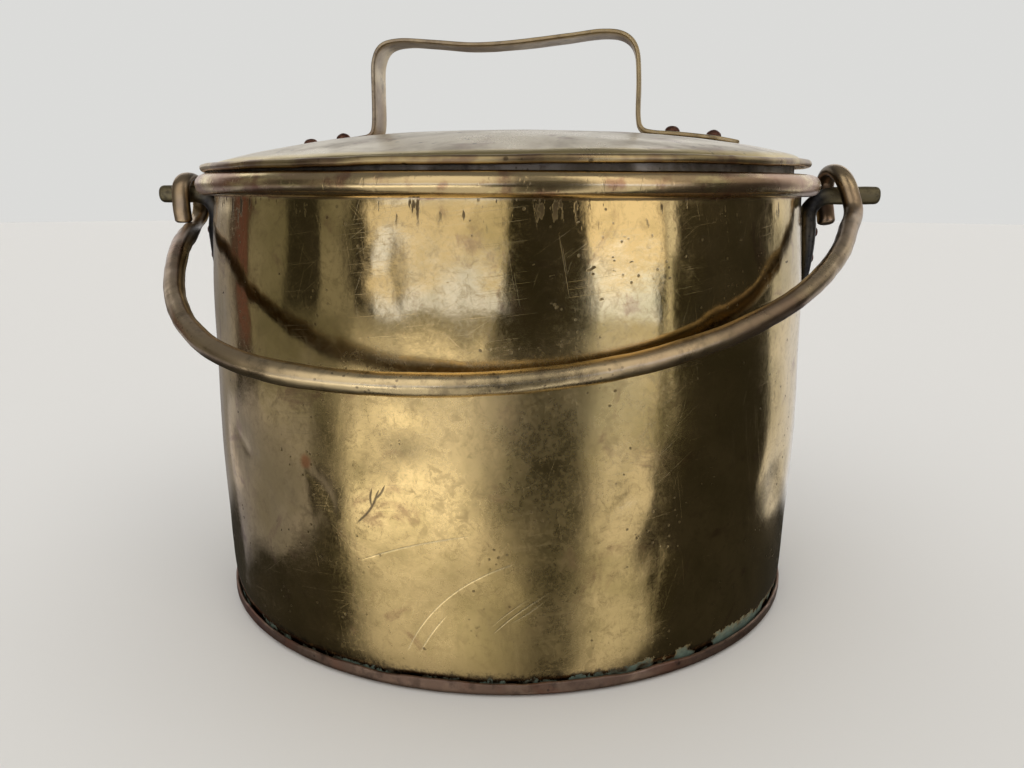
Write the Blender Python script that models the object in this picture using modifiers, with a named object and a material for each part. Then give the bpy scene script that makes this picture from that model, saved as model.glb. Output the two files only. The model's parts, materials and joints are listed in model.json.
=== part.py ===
"""Lidded brass pot with a swinging bail handle, built from separate solids.

Metres, +Z up. The pot stands on z = 0 with its centre line on the Z axis, its two lugs on
+X and -X, and the side on which the bail rests is -Y.
"""

import math

import bmesh
import bpy
from mathutils import Matrix, Vector

MM = 0.001
GAP = 0.3 * MM
ROUND_STEPS = 64

# Pot body: sheet brass, with its outer radius at each height from the base up.
WALL_THICKNESS = 1.2 * MM
WALL_OUTER = [
    (8.0, 147.1),
    (11.0, 147.7),
    (16.0, 148.2),
    (26.0, 148.7),
    (40.0, 149.4),
    (58.0, 150.3),
    (80.0, 150.9),
    (105.0, 150.7),
    (131.0, 150.1),
    (156.0, 149.8),
    (172.0, 148.9),
    (190.0, 147.8),
]
FOOT_FLANGE_INNER = 142.8 * MM

# Rolled rim: the sheet is curled outwards round an iron wire.
RIM_CENTRE_RADIUS = 150.4 * MM
RIM_CENTRE_Z = 206.0 * MM
RIM_ROLL_RADIUS = 5.0 * MM
RIM_CURL_END = math.radians(-118.0)

# Copper base pan with its edge turned up outside the body.
PAN_THICKNESS = 1.5 * MM
PAN_OUTER = 148.9 * MM
PAN_CORNER = 3.0 * MM
PAN_EDGE_Z = 5.4 * MM

# Lid: a hemmed flange, a rounded shoulder and a flattened dome. It sits a little askew.
LID_SEAT = Vector((-1.0, 0.0, 213.45)) * MM
LID_TILT = math.radians(-0.8)
LID_SHEET = 1.2 * MM
LID_FLANGE_RADIUS = 151.7 * MM
LID_DOME_RADIUS = 145.5 * MM
LID_DOME_EDGE_Z = 3.4 * MM
LID_DOME_RISE = 13.9 * MM
LID_DOME_POWER = 3.0
COLLAR_RADIUS = 143.2 * MM
COLLAR_BOTTOM = -17.5 * MM
COLLAR_TOP = 2.9 * MM

# Lid handle: a flat strap on two feet, along its own line across the lid.
STRAP_YAW = math.radians(-5.0)
STRAP_THICKNESS = 2.6 * MM
STRAP_WIDTH = 22.0 * MM
STRAP_TIP = 117.0 * MM
LID_RIVET_PLACES = {
    "lid_rivet_left_outer": -105.0 * MM,
    "lid_rivet_left_inner": -87.0 * MM,
    "lid_rivet_right_inner": 84.5 * MM,
    "lid_rivet_right_outer": 105.0 * MM,
}
RIVET_SHANK = 2.0 * MM
RIVET_HEAD = 3.75 * MM
RIVET_HEAD_HEIGHT = 2.7 * MM

# Lugs: a bar bent from a flat tail on the wall to a round peg outside the rim.
LUG_Y = -7.0 * MM
PEG_RADIUS = 4.6 * MM
PEG_TIP_RIGHT = 189.0 * MM
PEG_TIP_LEFT = 183.6 * MM
LUG_RIVET_HEIGHTS = {"lower": 158.0 * MM, "middle": 170.0 * MM, "upper": 183.0 * MM}
LUG_RIVET_SHANK = 2.2 * MM

# Bail: a round rod hooked over both pegs. It turns on this line.
AXIS_Z = 201.3 * MM
BAIL_RADIUS = 4.6 * MM
BAIL_REST = math.radians(24.0)

# Across, forward of the axis and above it, from the left hook's end to the bow.
LEFT_HOOK = [
    (-168.6, 8.8, -12.8),
    (-168.8, 9.6, -5.0),
    (-168.8, 8.0, 4.4),
    (-168.4, 0.2, 8.9),
    (-167.2, -7.6, 5.4),
    (-166.2, -10.2, -3.4),
    (-166.2, -6.8, -11.8),
    (-165.6, 4.4, -16.6),
    (-159.6, 24.0, -19.0),
]
# Across and away from the axis, in the plane in which the bow lies.
BOW = [
    (-151.6, 60.0),
    (-144.4, 88.0),
    (-135.0, 111.0),
    (-122.0, 131.0),
    (-104.0, 148.0),
    (-78.0, 160.0),
    (-44.0, 166.0),
    (-10.0, 166.4),
    (24.0, 161.6),
    (58.0, 151.0),
    (92.0, 132.4),
    (118.0, 111.0),
    (138.0, 88.0),
    (154.0, 62.0),
    (164.0, 38.0),
]
RIGHT_HOOK = [
    (170.8, 18.4, -8.0),
    (170.2, 12.8, 0.8),
    (167.8, 8.8, 8.4),
    (165.2, 0.4, 12.2),
    (164.4, -8.6, 9.0),
    (164.9, -12.6, 1.0),
    (165.6, -11.6, -7.0),
    (166.0, -9.8, -12.6),
]

BRASS = (0.62, 0.47, 0.22, 1.0)
COPPER = (0.48, 0.26, 0.16, 1.0)
BRONZE = (0.36, 0.24, 0.14, 1.0)
IRON = (0.09, 0.10, 0.11, 1.0)
RIVET_COPPER = (0.22, 0.09, 0.06, 1.0)


def clear_scene():
    for obj in list(bpy.data.objects):
        bpy.data.objects.remove(obj, do_unlink=True)


def new_collection(name, hidden=False):
    collection = bpy.data.collections.new(name)
    collection.hide_render = hidden
    bpy.context.scene.collection.children.link(collection)
    return collection


def metal(name, colour, roughness, metallic=1.0):
    material = bpy.data.materials.new(name)
    material.use_nodes = True
    shader = material.node_tree.nodes["Principled BSDF"]
    shader.inputs["Base Color"].default_value = colour
    shader.inputs["Roughness"].default_value = roughness
    shader.inputs["Metallic"].default_value = metallic
    return material


def smooth_shade(mesh, angle_deg=35.0):
    mesh.shade_smooth()
    mesh.set_sharp_from_angle(angle=math.radians(angle_deg))


def turned(name, outline, collection, material, closed=True, steps=ROUND_STEPS):
    """A solid of revolution. The outline is (radius, z) points that run down its outer side."""
    count = len(outline)
    edges = [(i, i + 1) for i in range(count - 1)]
    if closed:
        edges.append((count - 1, 0))
    mesh = bpy.data.meshes.new(name)
    mesh.from_pydata([(radius, 0.0, z) for radius, z in outline], edges, [])
    obj = bpy.data.objects.new(name, mesh)
    collection.objects.link(obj)
    screw = obj.modifiers.new("turn", "SCREW")
    screw.steps = steps
    screw.render_steps = steps
    screw.use_merge_vertices = True
    screw.merge_threshold = 0.01 * MM
    screw.use_smooth_shade = True
    mesh.materials.append(material)
    return obj


def sheet_outline(centre_line, thickness):
    """The outline of a sheet from its centre line, which runs down the outside of the shape."""
    outer = []
    inner = []
    last = len(centre_line) - 1
    for index, (radius, z) in enumerate(centre_line):
        before = Vector(centre_line[max(index - 1, 0)])
        after = Vector(centre_line[min(index + 1, last)])
        along = (after - before).normalized()
        offset = Vector((-along.y, along.x)) * thickness / 2
        if radius == 0.0:
            offset = Vector((0.0, math.copysign(thickness / 2, offset.y)))
        outer.append((radius + offset.x, z + offset.y))
        inner.append((radius - offset.x, z - offset.y))
    return outer + inner[::-1]


def arc(centre, radius, start, end, count):
    step = (end - start) / (count - 1)
    return [
        (
            centre[0] + radius * math.cos(start + i * step),
            centre[1] + radius * math.sin(start + i * step),
        )
        for i in range(count)
    ]


def smooth_path(points, per_span):
    """A Catmull-Rom curve through the points, given as Vectors of any length."""
    ends = [2 * points[0] - points[1]] + list(points) + [2 * points[-1] - points[-2]]
    path = []
    for i in range(1, len(ends) - 2):
        p0, p1, p2, p3 = ends[i - 1], ends[i], ends[i + 1], ends[i + 2]
        for k in range(per_span):
            t = k / per_span
            path.append(
                0.5 * (2 * p1 + (p2 - p0) * t + (2 * p0 - 5 * p1 + 4 * p2 - p3) * t**2
                       + (3 * p1 - p0 - 3 * p2 + p3) * t**3)
            )
    path.append(points[-1].copy())
    return path


def forged_bar(name, stations, wide_axis, collection, material, sides=12, squareness=2.0):
    """A bar lofted through stations of (centre, half thickness, half width).

    The width lies along wide_axis wherever the bar runs across it, and the squareness is
    the power of the section's superellipse: 2 is an ellipse, and more is a flat strap.
    """
    wide_axis = Vector(wide_axis)
    last = len(stations) - 1
    shape = bmesh.new()
    rings = []
    normal = None
    for index, (centre, half_thick, half_wide) in enumerate(stations):
        before = stations[max(index - 1, 0)][0]
        after = stations[min(index + 1, last)][0]
        along = (after - before).normalized()
        if normal is None:
            normal = along.cross(wide_axis)
        normal = (normal - along * normal.dot(along)).normalized()
        side = along.cross(normal)
        wide = wide_axis - along * wide_axis.dot(along)
        stretch = wide.length
        wide = wide.normalized() if stretch > 0.01 else side
        ring = []
        for k in range(sides):
            angle = 2 * math.pi * (k + 0.5) / sides
            c, s = math.cos(angle), math.sin(angle)
            reach = (abs(c) ** squareness + abs(s) ** squareness) ** (-1 / squareness)
            offset = (normal * c + side * s) * reach
            extra = (half_wide - half_thick) * stretch
            offset = offset * half_thick + wide * offset.dot(wide) * extra
            ring.append(shape.verts.new(centre + offset))
        rings.append(ring)
    for ring, following in zip(rings, rings[1:]):
        for k in range(sides):
            n = (k + 1) % sides
            shape.faces.new((ring[k], ring[n], following[n], following[k]))
    shape.faces.new(rings[0][::-1])
    shape.faces.new(rings[-1])
    bmesh.ops.recalc_face_normals(shape, faces=shape.faces)
    mesh = bpy.data.meshes.new(name)
    shape.to_mesh(mesh)
    shape.free()
    smooth_shade(mesh, 50.0)
    mesh.materials.append(material)
    obj = bpy.data.objects.new(name, mesh)
    collection.objects.link(obj)
    return obj


def rounded_ends(stations, steps=3):
    """Adds a rounded end to both ends of a bar's stations."""
    capped = []
    for end, inside in ((stations[0], stations[1]), (stations[-1], stations[-2])):
        centre, half_thick, half_wide = end
        outwards = (centre - inside[0]).normalized()
        cap = []
        for k in range(1, steps + 1):
            angle = math.pi / 2 * k / (steps + 0.6)
            reach = math.cos(angle)
            place = centre + outwards * half_thick * math.sin(angle)
            cap.append((place, half_thick * reach, half_wide * reach))
        capped.append(cap)
    return capped[0][::-1] + stations + capped[1]


def cut(obj, cutter):
    boolean = obj.modifiers.new("cut_" + cutter.name, "BOOLEAN")
    boolean.operation = "DIFFERENCE"
    boolean.object = cutter
    boolean.solver = "EXACT"


def pin_cutter(name, place, radius, length, collection, parent=None):
    """A round cutter whose middle and axis are those of the place matrix."""
    shape = bmesh.new()
    bmesh.ops.create_cone(
        shape, cap_ends=True, segments=20, radius1=radius, radius2=radius, depth=length
    )
    mesh = bpy.data.meshes.new(name)
    shape.to_mesh(mesh)
    shape.free()
    obj = bpy.data.objects.new(name, mesh)
    obj.parent = parent
    obj.matrix_local = place
    obj.hide_render = True
    obj.display_type = "WIRE"
    collection.objects.link(obj)
    return obj


def rivet(name, place, shank_radius, length, collection, material, parent=None):
    """A rivet with a domed head above the place, and a flat closing head below its shank."""
    head = arc((0.0, 0.0), 1.0, math.pi / 2, 0.0, 5)
    outline = [(x * RIVET_HEAD, y * RIVET_HEAD_HEIGHT) for x, y in head]
    outline += [
        (shank_radius, 0.0),
        (shank_radius, -length),
        (shank_radius * 1.55, -length),
        (shank_radius * 1.3, -length - 0.9 * MM),
        (0.0, -length - 1.1 * MM),
    ]
    outline[0] = (0.0, RIVET_HEAD_HEIGHT)
    obj = turned(name, outline, collection, material, closed=False, steps=16)
    obj.parent = parent
    obj.matrix_local = place
    return obj


def wall_radius(z):
    """The body's outer radius at a height, between the points of WALL_OUTER."""
    heights = [(h * MM, r * MM) for h, r in WALL_OUTER]
    for (low, r_low), (high, r_high) in zip(heights, heights[1:]):
        if low <= z <= high:
            return r_low + (r_high - r_low) * (z - low) / (high - low)
    return heights[0][1]


def dome_z(radius):
    """The height of the middle of the lid's sheet above its flange's underside."""
    drop = LID_DOME_RISE * (radius / LID_DOME_RADIUS) ** LID_DOME_POWER
    return LID_DOME_EDGE_Z + LID_DOME_RISE - drop


def build_wall(collection):
    half = WALL_THICKNESS / 2
    roll = RIM_ROLL_RADIUS - half
    curl = arc((RIM_CENTRE_RADIUS, RIM_CENTRE_Z), roll, RIM_CURL_END, math.pi, 12)
    wall = [(radius * MM - half, z * MM) for z, radius in reversed(WALL_OUTER)]
    foot_radius = wall[-1][0] - 0.5 * MM
    foot_z = PAN_THICKNESS + GAP + half
    foot = [
        (foot_radius, foot_z + 1.8 * MM),
        (foot_radius - 0.5 * MM, foot_z + 0.4 * MM),
        (foot_radius - 1.6 * MM, foot_z),
        (FOOT_FLANGE_INNER, foot_z),
    ]
    neck = [(RIM_CENTRE_RADIUS - roll + 0.25 * MM, 201.0 * MM)]
    return turned(
        "pot_wall",
        sheet_outline(curl + neck + wall + foot, WALL_THICKNESS),
        collection,
        metal("brass_body", BRASS, 0.22),
    )


def build_rim_wire(collection):
    radius = RIM_ROLL_RADIUS - WALL_THICKNESS - 0.35 * MM
    ring = arc((RIM_CENTRE_RADIUS, RIM_CENTRE_Z), radius, math.pi / 2, -1.5 * math.pi, 9)[:-1]
    return turned("rim_wire", ring, collection, metal("rim_iron", IRON, 0.6))


def build_base_pan(collection):
    half = PAN_THICKNESS / 2
    edge = PAN_OUTER - half
    centre = (PAN_OUTER - PAN_CORNER, PAN_CORNER)
    corner = arc(centre, PAN_CORNER - half, 0.0, -math.pi / 2, 5)
    line = [(edge, PAN_EDGE_Z)] + corner + [(60.0 * MM, half), (0.0, half)]
    outline = sheet_outline(line, PAN_THICKNESS)
    return turned(
        "base_pan",
        outline[len(line):] + outline[: len(line)],
        collection,
        metal("copper_base", COPPER, 0.4),
        closed=False,
    )


def build_lid(collection, cutters):
    frame = bpy.data.objects.new("lid_frame", None)
    frame.location = LID_SEAT
    frame.rotation_euler = (0.0, LID_TILT, 0.0)
    collection.objects.link(frame)
    brass = metal("brass_lid", BRASS, 0.25)

    dome_radii = [0.0, 30.0, 55.0, 78.0, 98.0, 114.0, 127.0, 136.0, 142.0, 145.0]
    dome = [(r * MM, dome_z(r * MM)) for r in dome_radii]
    shoulder = [(146.4 * MM, 2.6 * MM), (147.4 * MM, 1.3 * MM), (148.6 * MM, 0.95 * MM)]
    hem = arc((LID_FLANGE_RADIUS - 1.0 * MM, 1.0 * MM), 1.0 * MM, math.pi / 2, -math.pi / 2, 6)
    line = dome + shoulder
    outline = sheet_outline(line, LID_SHEET)
    outer = outline[: len(line)]
    inner = outline[len(line):]
    lid = turned("lid_dome", outer + hem + inner, collection, brass, closed=False)

    half = LID_SHEET / 2
    collar = [
        (COLLAR_RADIUS + half, COLLAR_TOP),
        (COLLAR_RADIUS + half, COLLAR_BOTTOM),
        (COLLAR_RADIUS - half, COLLAR_BOTTOM),
        (COLLAR_RADIUS - half, COLLAR_TOP),
    ]
    ring = turned("lid_collar", collar, collection, metal("brass_collar", BRASS, 0.45))
    strap = build_strap(collection)
    for obj in (lid, ring, strap):
        obj.parent = frame

    head_metal = metal("rivet_copper", RIVET_COPPER, 0.45)
    sheet_stack = 3 * GAP + STRAP_THICKNESS + LID_SHEET
    for name, along in LID_RIVET_PLACES.items():
        radius = abs(along)
        slope = LID_DOME_POWER * LID_DOME_RISE / LID_DOME_RADIUS
        slope *= (radius / LID_DOME_RADIUS) ** (LID_DOME_POWER - 1)
        lean = math.atan(slope) * math.copysign(1.0, along)
        place = (
            Matrix.Rotation(STRAP_YAW, 4, "Z")
            @ Matrix.Translation((along, 0.0, dome_z(radius)))
            @ Matrix.Rotation(lean, 4, "Y")
        )
        seat = LID_SHEET / 2 + 2 * GAP + STRAP_THICKNESS
        hole = pin_cutter(
            name + "_hole", place, RIVET_SHANK + GAP, 20.0 * MM, cutters, frame
        )
        cut(lid, hole)
        cut(strap, hole)
        head_place = place @ Matrix.Translation((0.0, 0.0, seat))
        rivet(name, head_place, RIVET_SHANK, sheet_stack, collection, head_metal, frame)
    return frame


def build_strap(collection):
    """The strap's line in its own upright plane: along it, and above the flange's underside."""
    lift = LID_SHEET / 2 + GAP + STRAP_THICKNESS / 2
    left_foot = [(-r * MM, dome_z(r * MM) + lift) for r in (117.0, 111.0, 100.0, 88.0, 76.0)]
    bow = [
        (-69.5, 19.2),
        (-67.4, 25.0),
        (-66.9, 42.0),
        (-66.2, 55.0),
        (-61.8, 62.6),
        (-52.0, 64.8),
        (-36.0, 63.6),
        (-15.0, 61.6),
        (8.0, 62.2),
        (32.0, 64.2),
        (50.0, 65.8),
        (60.6, 64.0),
        (66.4, 57.4),
        (67.8, 44.0),
        (67.8, 26.0),
        (69.6, 19.6),
    ]
    right_foot = [(r * MM, dome_z(r * MM) + lift) for r in (75.0, 86.0, 100.0, 111.0, 117.0)]
    line = left_foot + [(s * MM, z * MM) for s, z in bow] + right_foot
    yaw = Matrix.Rotation(STRAP_YAW, 4, "Z")
    path = smooth_path([yaw @ Vector((s, 0.0, z)) for s, z in line], 2)
    stations = []
    for point in path:
        reach = Vector((point.x, point.y)).length
        from_tip = max(STRAP_TIP - reach, 0.0) / (14.0 * MM)
        taper = min(1.0, 0.5 + 0.5 * math.sin(min(from_tip, 1.0) * math.pi / 2))
        stations.append((point, STRAP_THICKNESS / 2, STRAP_WIDTH / 2 * taper))
    across = yaw @ Vector((0.0, 1.0, 0.0))
    return forged_bar(
        "lid_handle", stations, across, collection, metal("brass_strap", BRASS, 0.3),
        sides=16, squareness=6.0,
    )


def build_lug(name, side, collection, cutters, wall):
    """side is 1 for the lug on +X and -1 for the lug on -X."""
    tail = [
        (135.0, 1.6, 2.6),
        (142.0, 2.4, 7.0),
        (152.0, 4.4, 12.4),
        (164.0, 6.6, 15.4),
        (175.0, 8.6, 16.0),
        (184.0, 9.8, 14.6),
    ]
    line = []
    for z, thick, wide in tail:
        centre = wall_radius(z * MM) + GAP + thick * MM / 2
        line.append(Vector((centre, z * MM, thick * MM / 2, wide * MM / 2)))
    arm = [
        (153.4, 191.2, 8.8, 12.4),
        (154.8, 195.2, 8.4, 10.4),
        (157.6, 198.4, 8.2, 9.0),
        (161.2, 200.4, 8.4, 8.6),
        (165.6, 201.2, 9.0, 9.0),
        (172.0, 201.4, 9.2, 9.2),
    ]
    line += [Vector((x, z, thick / 2, wide / 2)) * MM for x, z, thick, wide in arm]
    tip = PEG_TIP_RIGHT if side > 0 else PEG_TIP_LEFT
    line.append(Vector((tip - PEG_RADIUS, AXIS_Z + 0.2 * MM, PEG_RADIUS, PEG_RADIUS)))
    stations = []
    for x, z, half_thick, half_wide in smooth_path(line, 2):
        stations.append((Vector((side * x, LUG_Y, z)), half_thick, half_wide))
    lug = forged_bar(
        name, rounded_ends(stations), (0.0, 1.0, 0.0), collection, metal(name + "_iron", IRON, 0.4)
    )
    head_metal = metal(name + "_rivet_copper", RIVET_COPPER, 0.45)
    for level, z in LUG_RIVET_HEIGHTS.items():
        rivet_name = name.replace("lug", "lug_rivet") + "_" + level
        thick = next(b[1] + (a[1] - b[1]) * (z / MM - b[0]) / (a[0] - b[0])
                     for b, a in zip(tail, tail[1:]) if b[0] <= z / MM <= a[0]) * MM
        inner_wall = wall_radius(z) - WALL_THICKNESS
        inside = math.sqrt(inner_wall**2 - (abs(LUG_Y) + RIVET_HEAD) ** 2) - GAP
        turn = Matrix.Rotation(-side * math.pi / 2, 4, "Y")
        place = Matrix.Translation((side * inside, LUG_Y, z)) @ turn
        length = wall_radius(z) + GAP + thick + 0.5 * MM - inside
        hole = pin_cutter(
            rivet_name + "_hole", place, LUG_RIVET_SHANK + GAP, 40.0 * MM, cutters
        )
        cut(wall, hole)
        cut(lug, hole)
        head = arc((0.0, 0.0), 1.0, math.pi / 2, 0.0, 5)
        outline = [(x * RIVET_HEAD, y * 2.0 * MM) for x, y in head]
        outline += [
            (LUG_RIVET_SHANK, 0.0),
            (LUG_RIVET_SHANK, -length),
            (LUG_RIVET_SHANK * 0.7, -length - 0.4 * MM),
            (0.0, -length - 0.5 * MM),
        ]
        outline[0] = (0.0, 2.0 * MM)
        pin = turned(rivet_name, outline, collection, head_metal, closed=False, steps=16)
        pin.matrix_local = place
    return lug


def build_bail(collection):
    """The bail's origin is on its axis. Its hooks are drawn down a little thinner."""
    hinge = bpy.data.objects.new("bail_axis", None)
    hinge.location = (0.0, LUG_Y, AXIS_Z)
    collection.objects.link(hinge)
    points = [Vector((u, -f, w)) * MM for u, f, w in LEFT_HOOK]
    for u, v in BOW:
        points.append(Vector((u, -v * math.cos(BAIL_REST), -v * math.sin(BAIL_REST))) * MM)
    points += [Vector((u, -f, w)) * MM for u, f, w in RIGHT_HOOK]
    stations = []
    for point in smooth_path(points, 2):
        from_axis = math.hypot(point.y, point.z)
        drawn = min(max((from_axis - 14.0 * MM) / (20.0 * MM), 0.0), 1.0)
        thin = 3.6 if point.x > 0 else 3.0
        half_thick = (thin + (BAIL_RADIUS / MM - thin) * drawn) * MM
        stations.append((point, half_thick, BAIL_RADIUS))
    bail = forged_bar(
        "bail_handle", rounded_ends(stations), (1.0, 0.0, 0.0), collection,
        metal("bronze_bail", BRONZE, 0.35), sides=10,
    )
    bail.parent = hinge
    return bail


def main():
    clear_scene()
    parts = new_collection("lidded_brass_pot")
    cutters = new_collection("cutters", hidden=True)
    wall = build_wall(parts)
    build_rim_wire(parts)
    build_base_pan(parts)
    build_lug("lug_right", 1, parts, cutters, wall)
    build_lug("lug_left", -1, parts, cutters, wall)
    build_bail(parts)
    build_lid(parts, cutters)


main()
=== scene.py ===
"""Lidded brass pot with a bail handle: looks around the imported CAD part."""

import json
import math
from functools import reduce

import bmesh
import bpy
import numpy as np
from mathutils import Matrix

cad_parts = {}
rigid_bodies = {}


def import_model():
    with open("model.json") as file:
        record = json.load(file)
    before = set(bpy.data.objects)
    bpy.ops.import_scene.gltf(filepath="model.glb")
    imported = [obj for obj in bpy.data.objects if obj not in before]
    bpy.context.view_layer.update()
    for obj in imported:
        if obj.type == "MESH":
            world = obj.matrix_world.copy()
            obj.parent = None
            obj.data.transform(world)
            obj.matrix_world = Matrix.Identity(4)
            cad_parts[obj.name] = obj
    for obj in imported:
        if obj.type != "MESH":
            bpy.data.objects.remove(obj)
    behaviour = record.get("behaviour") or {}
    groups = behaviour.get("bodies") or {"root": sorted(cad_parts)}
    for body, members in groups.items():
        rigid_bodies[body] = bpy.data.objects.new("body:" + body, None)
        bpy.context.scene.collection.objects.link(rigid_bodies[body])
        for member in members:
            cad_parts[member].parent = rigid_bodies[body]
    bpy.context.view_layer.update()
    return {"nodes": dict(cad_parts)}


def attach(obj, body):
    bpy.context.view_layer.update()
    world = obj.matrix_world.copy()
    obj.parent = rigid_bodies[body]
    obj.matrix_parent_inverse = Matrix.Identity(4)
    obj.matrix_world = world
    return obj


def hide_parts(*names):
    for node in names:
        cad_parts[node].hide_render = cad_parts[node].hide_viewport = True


MM = 0.001

for leftover in list(bpy.data.objects):
    bpy.data.objects.remove(leftover, do_unlink=True)
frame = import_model()

# Driving sizes in millimetres, as in the CAD.
WALL_THICKNESS = 1.2
WALL_OUTER = [
    (8.0, 147.1), (11.0, 147.7), (16.0, 148.2), (26.0, 148.7), (40.0, 149.4), (58.0, 150.3),
    (80.0, 150.9), (105.0, 150.7), (131.0, 150.1), (156.0, 149.8), (172.0, 148.9), (190.0, 147.8),
]
RIM_RADIUS = 150.4
RIM_Z = 206.0
RIM_ROLL = 5.0
PAN_OUTER = 148.9
PAN_EDGE_Z = 5.4
LID_SEAT = (-1.0, 0.0, 213.45)
LID_TILT = math.radians(-0.8)
LID_SHEET = 1.2
LID_FLANGE = 151.7
HEM_RADIUS = 1.75
LID_DOME = 145.5
LID_DOME_EDGE_Z = 3.4
LID_DOME_RISE = 13.9
COLLAR_RADIUS = 143.2
STRAP_YAW = math.radians(-5.0)
STRAP_THICKNESS = 2.6
STRAP_WIDTH = 22.0
STRAP_TIP = 117.0
LUG_Y = -7.0
AXIS_Z = 201.3
PEG_RADIUS = 4.6
PEG_TIP_RIGHT = 189.0
PEG_TIP_LEFT = 183.6
BAIL_RADIUS = 4.6
BAIL_REST = math.radians(24.0)
WALL_MEAN = 150.0
RIVET_HEAD = 3.75
SHEET_GAP = 0.3

# How many columns the body and the base pan have round them.
ROUND = 540
# Edges that turn by more than this are shaded sharp.
SHARP_EDGE = math.radians(40.0)

# The sockets of Blender's Mix node by number, because it repeats their names.
COLOUR_A, COLOUR_B, COLOUR_OUT = 6, 7, 2
FLOAT_A, FLOAT_B, FLOAT_OUT = 2, 3, 0


# ---- shape helpers


def lattice(ix, iy, iz, seed):
    """A repeatable number from -1 to 1 for each place with whole-number coordinates."""
    value = (ix * 374761393 + iy * 668265263 + iz * 1440662683 + seed * 1274126177) & 0xFFFFFFFF
    value = ((value ^ (value >> 13)) * 1103515245) & 0xFFFFFFFF
    return ((value ^ (value >> 16)) & 0xFFFF) / 32767.5 - 1.0


def soft_noise(points, size, seed):
    """Smooth noise from about -1 to 1 at each point, with bumps about size across."""
    scaled = np.asarray(points, float) / size + 1000.0
    cell = np.floor(scaled).astype(np.int64)
    part = scaled - cell
    ease = part * part * part * (part * (part * 6 - 15) + 10)
    total = 0.0
    for corner in range(8):
        dx, dy, dz = corner & 1, corner >> 1 & 1, corner >> 2
        weight = np.where(dx, ease[..., 0], 1 - ease[..., 0])
        weight = weight * np.where(dy, ease[..., 1], 1 - ease[..., 1])
        weight = weight * np.where(dz, ease[..., 2], 1 - ease[..., 2])
        x, y, z = cell[..., 0] + dx, cell[..., 1] + dy, cell[..., 2] + dz
        total = total + weight * lattice(x, y, z, seed)
    return total


def polar(radius, angle, z):
    """Points round the Z axis. Angle 0 is the front, -Y, and it grows towards +X."""
    return np.stack([radius * np.sin(angle), -radius * np.cos(angle), z], -1)


def on_wall(angle, z):
    """Points on the wall's mean circle."""
    return polar(WALL_MEAN, angle, z)


def arc(centre, radius, start, end, count):
    """Points on part of a circle, from one angle to the other."""
    angles = np.linspace(start, end, count)
    return np.stack([centre[0] + radius * np.cos(angles), centre[1] + radius * np.sin(angles)], 1)


def smooth_path(points, per_span):
    """A Catmull-Rom curve through rows of numbers."""
    rows = np.asarray(points, float)
    ends = np.vstack([2 * rows[0] - rows[1], rows, 2 * rows[-1] - rows[-2]])
    path = []
    for i in range(1, len(ends) - 2):
        p0, p1, p2, p3 = ends[i - 1:i + 3]
        for t in np.arange(per_span) / per_span:
            path.append(
                0.5 * (2 * p1 + (p2 - p0) * t + (2 * p0 - 5 * p1 + 4 * p2 - p3) * t**2
                       + (3 * p1 - p0 - 3 * p2 + p3) * t**3)
            )
    path.append(rows[-1])
    return np.array(path)


def even_path(points, spacing):
    """The same curve with its points about spacing apart, by the first two or three columns."""
    rows = smooth_path(points, 24)
    steps = np.linalg.norm(np.diff(rows[:, :3] if rows.shape[1] > 2 else rows, axis=0), axis=1)
    along = np.concatenate([[0.0], np.cumsum(steps)])
    count = max(int(round(along[-1] / spacing)), 2) + 1
    places = np.linspace(0.0, along[-1], count)
    return np.stack([np.interp(places, along, rows[:, k]) for k in range(rows.shape[1])], 1)


def place_object(name, data):
    """A new object in the scene."""
    obj = bpy.data.objects.new(name, data)
    bpy.context.scene.collection.objects.link(obj)
    return obj


def new_object(name, vertices, faces, body, nodes, materials):
    """A mesh piece in metres that rides on a body and stands for its CAD nodes."""
    mesh = bpy.data.meshes.new(name)
    mesh.from_pydata((np.asarray(vertices) * MM).tolist(), [], faces)
    shape = bmesh.new()
    shape.from_mesh(mesh)
    bmesh.ops.remove_doubles(shape, verts=shape.verts, dist=1e-7)
    bmesh.ops.recalc_face_normals(shape, faces=shape.faces)
    shape.to_mesh(mesh)
    shape.free()
    for material in materials:
        mesh.materials.append(material)
    mesh.shade_smooth()
    mesh.set_sharp_from_angle(angle=SHARP_EDGE)
    obj = place_object(name, mesh)
    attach(obj, body)
    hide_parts(*nodes)
    return obj


def ring_faces(rows, columns, closed_rows):
    """Quads over a grid whose columns run round and whose rows may close on themselves."""
    faces = []
    for r in range(rows if closed_rows else rows - 1):
        following = (r + 1) % rows
        for c in range(columns):
            n = (c + 1) % columns
            faces.append((r * columns + c, r * columns + n,
                          following * columns + n, following * columns + c))
    return faces


def sheet_loop(line, thickness, inner_step=3, sparse=None):
    """A sheet's closed outline from its centre line, with rounded edges and a coarser inside.

    sparse is (first row, rows left at the end, step) for a still coarser stretch of the inside.
    """
    line = np.asarray(line, float)
    along = np.gradient(line, axis=0)
    along /= np.linalg.norm(along, axis=1)[:, None]
    side = np.stack([-along[:, 1], along[:, 0]], 1) * thickness / 2
    on_axis = line[:, 0] < 1e-6
    side[on_axis, 0] = 0.0
    outer, inner = line + side, line - side
    inner = inner[::-1]
    keep = set(range(0, len(inner), inner_step)) | {len(inner) - 1}
    if sparse is not None:
        begin, left, step = sparse
        keep -= {k for k in range(begin, len(inner) - left) if (k - begin) % step}
    ends = []
    turn = np.array([math.pi / 4, math.pi / 2, 3 * math.pi / 4])
    last, first = (line[-1], along[-1], side[-1]), (line[0], -along[0], -side[0])
    for middle, direction, reach in (last, first):
        ends.append(middle + reach * np.cos(turn)[:, None]
                    + direction * (thickness / 2) * np.sin(turn)[:, None])
    return outer, inner[sorted(keep)], ends


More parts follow.
